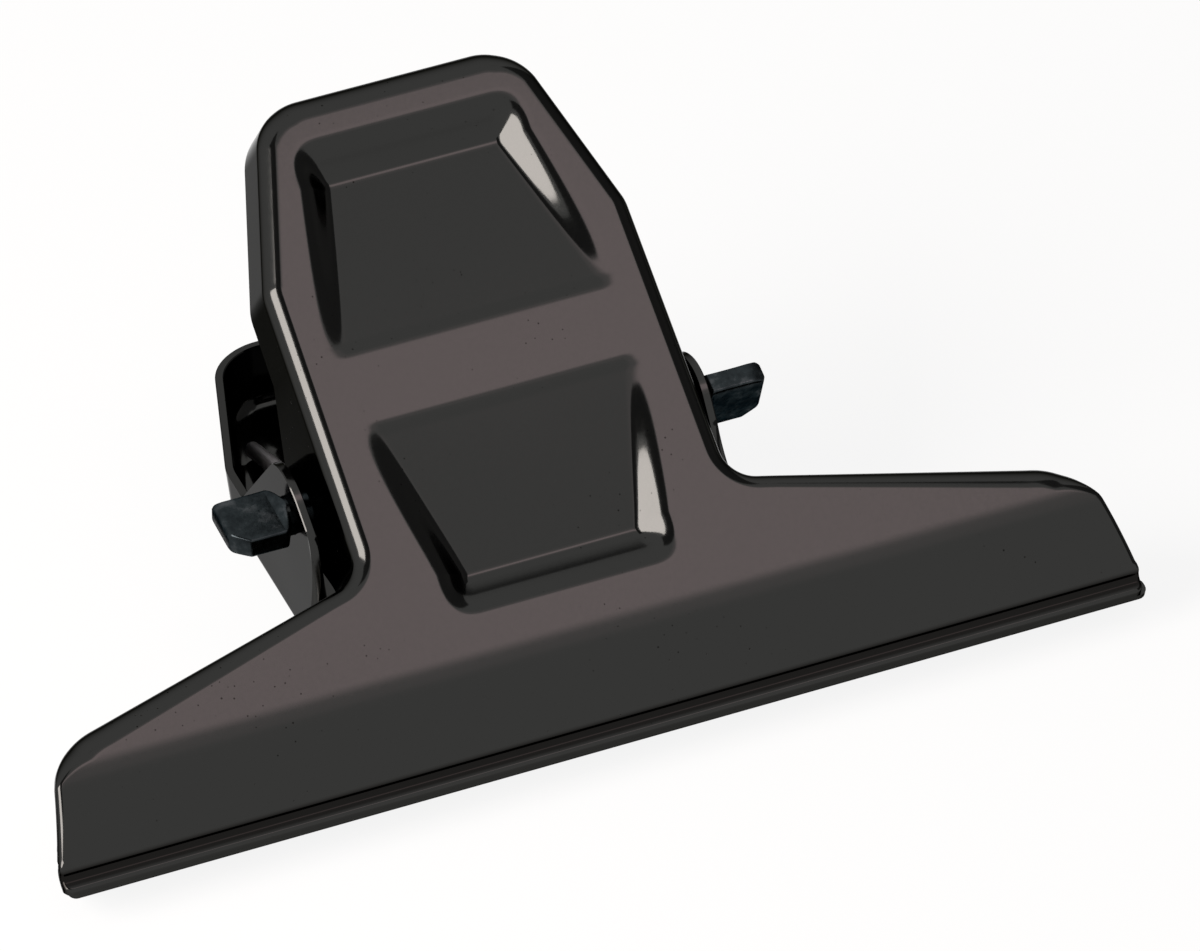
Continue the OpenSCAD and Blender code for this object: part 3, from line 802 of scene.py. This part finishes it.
def spring_tree():
    tree = bpy.data.node_groups.new("wound torsion spring", "GeometryNodeTree")
    face = tree.interface
    for name, kind in (("Wire diameter", "Float"), ("Coil radius", "Float"),
                       ("Outer X", "Float"), ("Inner X", "Float"),
                       ("Outer angle", "Float"), ("Coil turn", "Float"),
                       ("Outer leg end", "Vector"), ("Inner leg end", "Vector"),
                       ("Coil steps", "Int"), ("Leg steps", "Int"), ("Wire finish", "Material")):
        face.new_socket(name, in_out="INPUT", socket_type="NodeSocket" + kind)
    face.new_socket("Spring", in_out="OUTPUT", socket_type="NodeSocketGeometry")
    given = tree.nodes.new("NodeGroupInput").outputs

    def maths(op, a, b=0.0):
        return add(tree, "ShaderNodeMath", {"operation": op}, {0: a, 1: b}).outputs[0]

    def held(value):
        return add(tree, "ShaderNodeClamp", None, {"Value": value}).outputs[0]

    def blend(factor, a, b):
        return add(tree, "ShaderNodeMix", {"data_type": "VECTOR"},
                   {"Factor": factor, 4: a, 5: b}).outputs[1]

    number = tree.nodes.new("GeometryNodeInputIndex").outputs[0]
    total = maths("ADD", given["Coil steps"], maths("MULTIPLY", given["Leg steps"], 2.0))
    line = add(tree, "GeometryNodeMeshLine", None, {"Count": maths("ADD", total, 1.0)})
    wire_no = maths("SUBTRACT", number, given["Leg steps"])
    k = held(maths("DIVIDE", wire_no, given["Coil steps"]))
    angle = maths("SUBTRACT", given["Outer angle"], maths("MULTIPLY", given["Coil turn"], k))
    x = add(tree, "ShaderNodeMix", None,
            {"Factor": k, 2: given["Outer X"], 3: given["Inner X"]}).outputs[0]
    curl = add(tree, "ShaderNodeCombineXYZ", None, {
        "X": x, "Y": maths("MULTIPLY", maths("COSINE", angle), given["Coil radius"]),
        "Z": maths("MULTIPLY", maths("SINE", angle), given["Coil radius"])}).outputs[0]
    outer_k = held(maths("DIVIDE", maths("MULTIPLY", wire_no, -1.0), given["Leg steps"]))
    past_coil = maths("SUBTRACT", wire_no, given["Coil steps"])
    inner_k = held(maths("DIVIDE", past_coil, given["Leg steps"]))
    place = blend(inner_k, blend(outer_k, curl, given["Outer leg end"]),
                  given["Inner leg end"])
    placed = add(tree, "GeometryNodeSetPosition", None,
                 {"Geometry": line.outputs[0], "Position": place})
    path = add(tree, "GeometryNodeMeshToCurve", None, {"Mesh": placed.outputs[0]})
    section = add(tree, "GeometryNodeCurvePrimitiveCircle", None, {
        "Resolution": WIRE_SIDES, "Radius": maths("DIVIDE", given["Wire diameter"], 2.0)})
    wire = add(tree, "GeometryNodeCurveToMesh", None, {
        "Curve": path.outputs[0], "Profile Curve": section.outputs[0], "Fill Caps": True})
    real = add(tree, "GeometryNodeRealizeInstances", None, {"Geometry": wire.outputs[0]})
    coated = add(tree, "GeometryNodeSetMaterial", None,
                 {"Geometry": real.outputs[0], "Material": given["Wire finish"]})
    out = tree.nodes.new("NodeGroupOutput")
    tree.links.new(coated.outputs[0], out.inputs[0])
    return tree


SPRING_TREE = spring_tree()
print("Inputs of the spring tree:", [i.name for i in SPRING_TREE.interface.items_tree])


# %% [markdown]
# ## Where the legs lead
# The two leg ends follow from where the plates' inner faces are, and the angle at which
# each leg leaves the curls follows from the leg's end: the tangent from a point to a
# circle.

# %% Where the legs lead
def tangent_angle(end, way):
    reach = math.hypot(end[0], end[1])
    return math.degrees(math.atan2(end[1], end[0]) + way * math.acos(COIL_R / reach))


bear = SHEET + LEG_GAP + WIRE_D / 2
OUTER_END = (OUTER_LEG_Y - LOWER_PIN[0], bear - LOWER_PIN[1])
inner_y = INNER_LEG_Y - UPPER_PIN[0]
inner_z = UPPER_PIN[1] - bear - panel_depth(0, INNER_LEG_Y)
INNER_END = (inner_y * math.cos(TIP_UP) - inner_z * math.sin(TIP_UP),
             inner_y * math.sin(TIP_UP) + inner_z * math.cos(TIP_UP))
OUTER_A, INNER_A = tangent_angle(OUTER_END, -1), tangent_angle(INNER_END, 1)
COIL_TURN = 360 * COIL_COUNT + OUTER_A - INNER_A
INNER_X = LEG_X - COIL_TURN / 360 * COIL_PITCH
print(f"Each spring turns {COIL_TURN / 360:.2f} times between x {LEG_X} and {INNER_X:.2f} mm")


# %% [markdown]
# ## Black nickel on the plates
# The plates are pressed sheet steel with a bright black nickel plating. Black nickel is
# a metal, so all that it shows is what it mirrors. It returns between three and four
# parts in a hundred of that, in a neutral grey, and at a shallow angle less than a clean
# metal would. It is nearly mirror smooth, so roughness is low.
#
# The steel under it gives it a faint waviness, and pits about a fifth of a millimetre
# wide, in loose clusters, which are a darker grey. The fold behind the lip gets painted
# shade: the finish reads the mark that the plate's points carry there and turns the fold
# the same darker grey.

# %% Material of the plates
SHALLOW_TINT = "#a1a1a1"
# The darker grey marks the pits, and is also painted shade in the fold behind the lip
NICKEL, PIT_AND_PAINTED_SHADE_NICKEL = "#353534", "#1d1c1b"
# Sizes of the patterns in millimetres
PIT_CLUSTERS, PIT_SPACING, NICKEL_GRAIN, NICKEL_WAVES = 11.0, 1.1, 0.5, 16.0


def millimetres(tree):
    where = tree.nodes.new("ShaderNodeTexCoord").outputs["Object"]
    return add(tree, "ShaderNodeMapping", None,
               {"Vector": where, "Scale": (1 / MM,) * 3}).outputs[0]


def new_finish(name, metal, roughness):
    material = bpy.data.materials.new(name)
    material.use_nodes = True
    tree = material.node_tree
    shader = tree.nodes["Principled BSDF"]
    feed(tree, shader, {"Metallic": 1.0, "Base Color": paint(metal), "Roughness": roughness,
                        "Specular Tint": paint(SHALLOW_TINT)})
    return material, tree, shader


def black_nickel():
    material, tree, shader = new_finish("bright black nickel on drawn steel", NICKEL, 0.12)
    mm = millimetres(tree)
    crowd = add(tree, "ShaderNodeTexNoise", None,
                {"Vector": mm, "Scale": 1 / PIT_CLUSTERS, "Detail": 2.0}).outputs[0]
    spots = add(tree, "ShaderNodeTexVoronoi", {"feature": "F1"},
                {"Vector": mm, "Scale": 1 / PIT_SPACING}).outputs["Distance"]
    size = add(tree, "ShaderNodeMapRange", None, {
        "Value": crowd, "From Min": 0.40, "From Max": 0.70, "To Min": 0.0, "To Max": 0.10})
    pit = add(tree, "ShaderNodeMath", {"operation": "LESS_THAN"},
              {0: spots, 1: size.outputs[0]}).outputs[0]
    # Painted shade: the fold mark turns the fold behind the lip the same darker grey as the pits
    fold = add(tree, "ShaderNodeAttribute", {"attribute_name": "fold"}).outputs["Fac"]
    pits_and_painted_shade = add(tree, "ShaderNodeMath", {"operation": "MAXIMUM"}, {0: pit, 1: fold}).outputs[0]
    tint = add(tree, "ShaderNodeMix", {"data_type": "RGBA"}, {
        "Factor": pits_and_painted_shade, 6: paint(NICKEL), 7: paint(PIT_AND_PAINTED_SHADE_NICKEL)}).outputs[2]
    grain = add(tree, "ShaderNodeTexNoise", None,
                {"Vector": mm, "Scale": 1 / NICKEL_GRAIN, "Detail": 3.0}).outputs[0]
    rough = add(tree, "ShaderNodeMapRange", None, {
        "Value": grain, "From Min": 0.3, "From Max": 0.7, "To Min": 0.10, "To Max": 0.14})
    wave = add(tree, "ShaderNodeTexNoise", None,
               {"Vector": mm, "Scale": 1 / NICKEL_WAVES, "Detail": 0.0}).outputs[0]
    wavy = add(tree, "ShaderNodeBump", None,
               {"Height": wave, "Distance": 0.2 * MM, "Strength": 0.2}).outputs[0]
    pitted = add(tree, "ShaderNodeBump", {"invert": True},
                 {"Height": pit, "Distance": 0.03 * MM, "Strength": 0.6, "Normal": wavy})
    feed(tree, shader, {"Base Color": tint, "Roughness": rough.outputs[0],
                        "Normal": pitted.outputs[0]})
    return material


plate_finish = black_nickel()
for plate in (lower_jaw, upper_jaw):
    plate.data.materials.clear()
    plate.data.materials.append(plate_finish)
print("Nodes in the plates' finish:", len(plate_finish.node_tree.nodes))


# %% [markdown]
# ## Blued steel on the pin
# The pin is bare blued steel. Heat bluing leaves a thin dark oxide that looks blue-black
# and patchy, and the press that flattened the ends left rubbed places and fine marks.

# %% Material of the pin
BLUING_PATCHES, RUB_MARKS = 2.2, 0.6


def blued_steel():
    material, tree, shader = new_finish("blued and pressed steel rod", "#262b2e", 0.25)
    mm = millimetres(tree)
    patch = add(tree, "ShaderNodeTexNoise", None,
                {"Vector": mm, "Scale": 1 / BLUING_PATCHES, "Detail": 6.0,
                 "Roughness": 0.6}).outputs[0]
    tint = add(tree, "ShaderNodeValToRGB", None, {"Fac": patch})
    ramp = tint.color_ramp
    ramp.elements[0].position, ramp.elements[0].color = 0.40, paint("#232729")
    ramp.elements[1].position, ramp.elements[1].color = 0.68, paint("#46494b")
    middle = ramp.elements.new(0.55)
    middle.color = paint("#2d3234")
    rub = add(tree, "ShaderNodeTexNoise", None,
              {"Vector": mm, "Scale": 1 / RUB_MARKS, "Detail": 4.0}).outputs[0]
    rough = add(tree, "ShaderNodeMapRange", None, {
        "Value": rub, "From Min": 0.3, "From Max": 0.7, "To Min": 0.16, "To Max": 0.34})
    dents = add(tree, "ShaderNodeBump", None,
                {"Height": rub, "Distance": 0.1 * MM, "Strength": 0.2})
    feed(tree, shader, {"Base Color": tint.outputs[0], "Roughness": rough.outputs[0],
                        "Normal": dents.outputs[0]})
    return material


cross_pin.data.materials.append(blued_steel())


# %% [markdown]
# ## Drawn wire on the springs
# Spring steel wire is pulled through a die, which leaves a grey skin with fine lines
# along it. The lines run round the curls with the wire and are too fine to show, so the
# finish only varies in its polish, in specks about a fifth of a millimetre across, and
# in its grey, in stains about three millimetres across.

# %% Material of the springs, and the springs
WIRE_GRAIN, WIRE_STAINS = 0.2, 3.0


def drawn_wire():
    material, tree, shader = new_finish("bare drawn spring steel wire", "#8a8788", 0.38)
    mm = millimetres(tree)
    grain = add(tree, "ShaderNodeTexNoise", None,
                {"Vector": mm, "Scale": 1 / WIRE_GRAIN, "Detail": 3.0}).outputs[0]
    rough = add(tree, "ShaderNodeMapRange", None, {
        "Value": grain, "From Min": 0.3, "From Max": 0.7, "To Min": 0.32, "To Max": 0.46})
    stain = add(tree, "ShaderNodeTexNoise", None,
                {"Vector": mm, "Scale": 1 / WIRE_STAINS, "Detail": 3.0}).outputs[0]
    tint = add(tree, "ShaderNodeMix", {"data_type": "RGBA"}, {
        "Factor": stain, 6: paint("#7a7778"), 7: paint("#9a9798")}).outputs[2]
    feed(tree, shader, {"Base Color": tint, "Roughness": rough.outputs[0]})
    return material


wire_finish = drawn_wire()


def wound_spring(name, way):
    seed = link(name, bpy.data.meshes.new(name))
    wind = seed.modifiers.new("wind", "NODES")
    wind.node_group = SPRING_TREE
    values = {"Wire diameter": WIRE_D, "Coil radius": COIL_R, "Outer X": LEG_X,
              "Inner X": INNER_X, "Outer angle": math.radians(OUTER_A),
              "Coil turn": math.radians(COIL_TURN), "Leg steps": LEG_STEPS,
              "Coil steps": COIL_COUNT * STEPS_A_TURN,
              "Outer leg end": (LEG_X, *OUTER_END), "Inner leg end": (INNER_X, *INNER_END),
              "Wire finish": wire_finish}
    for item in SPRING_TREE.interface.items_tree:
        if item.in_out == "INPUT":
            wind[item.identifier] = values[item.name]
    mesh = flattened(seed, name)
    bpy.data.objects.remove(seed)
    mesh.transform(in_metres(Matrix.Translation(HINGE) @ Matrix.Diagonal((way, 1, 1, 1)))
                   @ Matrix.Scale(MM, 4))
    solid_from(mesh)
    mesh.shade_smooth()
    mesh.set_sharp_from_angle(angle=math.radians(ROUND_SHARP_FROM))
    return link(name, mesh)


for name, way, node in (("left_torsion_spring", -1, "left_spring"),
                        ("right_torsion_spring", 1, "right_spring")):
    spring = wound_spring(name, way)
    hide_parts(node)
    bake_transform(spring)
    print(name, "has", len(spring.data.polygons), "faces")


# %% [markdown]
# ## Floor and room
# The clip lies on a pale floor in a white room, and the camera and the mirroring metal
# see both as white. For all other light the room counts for three tenths of that, and
# the floor is plain matt paint, so the white adds little light to the clip. The floor
# that is seen keeps a little of its paint, so that the clip's shadow shows on it.

# %% Floor and room
FLOOR_HALF, FLOOR_Z, FLOOR_GLOW, ROOM_LIGHT = 4.0, -0.1 * MM, 0.88, 0.3


def white_seen(tree):
    path = tree.nodes.new("ShaderNodeLightPath").outputs
    seen = path["Is Camera Ray"]
    for other in ("Is Glossy Ray", "Is Transmission Ray"):
        seen = add(tree, "ShaderNodeMath", {"operation": "MAXIMUM"},
                   {0: seen, 1: path[other]}).outputs[0]
    return seen


def pale_floor():
    material = bpy.data.materials.new("matt pale floor")
    material.use_nodes = True
    tree = material.node_tree
    tree.nodes.clear()
    matt = add(tree, "ShaderNodeBsdfDiffuse", None, {"Color": paint("#eeeeec")})
    glow = add(tree, "ShaderNodeEmission", None, {"Color": (1, 1, 1, 1), "Strength": 1.0})
    seen = add(tree, "ShaderNodeMath", {"operation": "MULTIPLY"},
               {0: white_seen(tree), 1: FLOOR_GLOW})
    both = add(tree, "ShaderNodeMixShader", None,
               {0: seen.outputs[0], 1: matt.outputs[0], 2: glow.outputs[0]})
    out = tree.nodes.new("ShaderNodeOutputMaterial")
    tree.links.new(both.outputs[0], out.inputs["Surface"])
    return material


floor_mesh = bpy.data.meshes.new("floor")
floor_mesh.from_pydata([(x * FLOOR_HALF, y * FLOOR_HALF, FLOOR_Z)
                        for x, y in ((-1, -1), (1, -1), (1, 1), (-1, 1))],
                       [], [(0, 1, 2, 3)])
floor = link("floor", floor_mesh)
floor_mesh.materials.append(pale_floor())

room = bpy.data.worlds.new("white room")
bpy.context.scene.world = room
room.use_nodes = True
room_tree = room.node_tree
sky = room_tree.nodes["Background"]
level = add(room_tree, "ShaderNodeMapRange", None,
            {"Value": white_seen(room_tree), "To Min": ROOM_LIGHT, "To Max": 1.0})
feed(room_tree, sky, {"Strength": level.outputs[0], "Color": (1, 1, 1, 1)})
print("The room sheds", ROOM_LIGHT, "of the white that it shows")


# %% [markdown]
# ## Lamps and dark screens
# A glossy dark thing shows its surroundings more than itself, so the lamps are shaped
# and placed for what the metal should mirror. The faces mirror a softbox overhead. A
# real one is brightest in its middle and fades to its border, but a lamp here is even,
# so three hang one behind another, each deeper than the last. Metal mirrors them
# together, and their sum has a bright core and a soft border.
#
# A bright lamp at the left draws the lines of light on the pressed edges and the patches
# on the panels' walls. Two dark grey screens stand for the unlit parts of a real room:
# they are a painted reflection of shade, black surfaces that glow a faint grey of their
# own. Only reflections see them, and they give the metal the black beside each bright line.
# Sizes and places of lamps and screens are in metres.

# %% Lamps and screens
CLIP_MIDDLE = Vector((0, -0.01, 0.02))
TO_SOFTBOX, SOFTBOX_W, SCREEN_GLOW = (0.15, -0.335, 0.93), 0.50, 0.13
# Each layer's distance, depth and brightness
SOFTBOX_LAYERS = ((0.90, 0.15, 1.0), (0.92, 0.23, 0.8), (0.94, 0.46, 0.25))
RIGHT_SCREEN = [(0.6, y, z) for y, z in ((-0.7, 0), (0.45, 0), (0.45, 1.1), (-0.7, 1.1))]
GAP_SCREEN = [(x, y, 1) for x, y in ((-0.16, -0.9), (-0.16, 0.3), (-0.68, 0.3), (-0.68, -0.9))]


def soft_lamp(name, toward_it, distance, width, height, brightness, colour, tall=(0, 1, 0)):
    lamp = bpy.data.lights.new(name, "AREA")
    lamp.shape, lamp.size, lamp.size_y = "RECTANGLE", width, height
    lamp.energy = brightness * width * height * math.pi
    lamp.color = paint(colour)[:3]
    direction = Vector(toward_it).normalized()
    across = Vector(tall).cross(direction).normalized()
    axes = Matrix((across, direction.cross(across), direction)).transposed()
    place = Matrix.Translation(CLIP_MIDDLE + direction * distance)
    link(name, lamp).matrix_world = place @ axes.to_4x4()


for distance, depth, brightness in SOFTBOX_LAYERS:
    soft_lamp("overhead softbox", TO_SOFTBOX, distance, SOFTBOX_W, depth, brightness, "#ffe1e5")
soft_lamp("left strip", toward_it=(-0.81, -0.13, 0.52), distance=0.8, width=0.46, height=0.58,
          brightness=13.0, colour="#fff7f3", tall=(0.1, 0.55, 0.23))


# Painted reflection: a black surface that glows a faint grey, seen only in the metal's
# reflections
def painted_reflection_glow():
    material = bpy.data.materials.new("faint glow painted into reflections")
    material.use_nodes = True
    tree = material.node_tree
    feed(tree, tree.nodes["Principled BSDF"], {
        "Base Color": paint("#000000"), "Emission Color": paint("#ffffff"),
        "Emission Strength": SCREEN_GLOW})
    return material


def dark_screen(name, corners):
    mesh = bpy.data.meshes.new(name)
    mesh.from_pydata(corners, [], [(0, 1, 2, 3)])
    mesh.materials.append(PAINTED_REFLECTION_GLOW)
    screen = link(name, mesh)
    screen.visible_camera = screen.visible_shadow = screen.visible_diffuse = False


PAINTED_REFLECTION_GLOW = painted_reflection_glow()
dark_screen("right screen", RIGHT_SCREEN)
dark_screen("gap screen", GAP_SCREEN)
bpy.context.scene.view_settings.view_transform = "Standard"
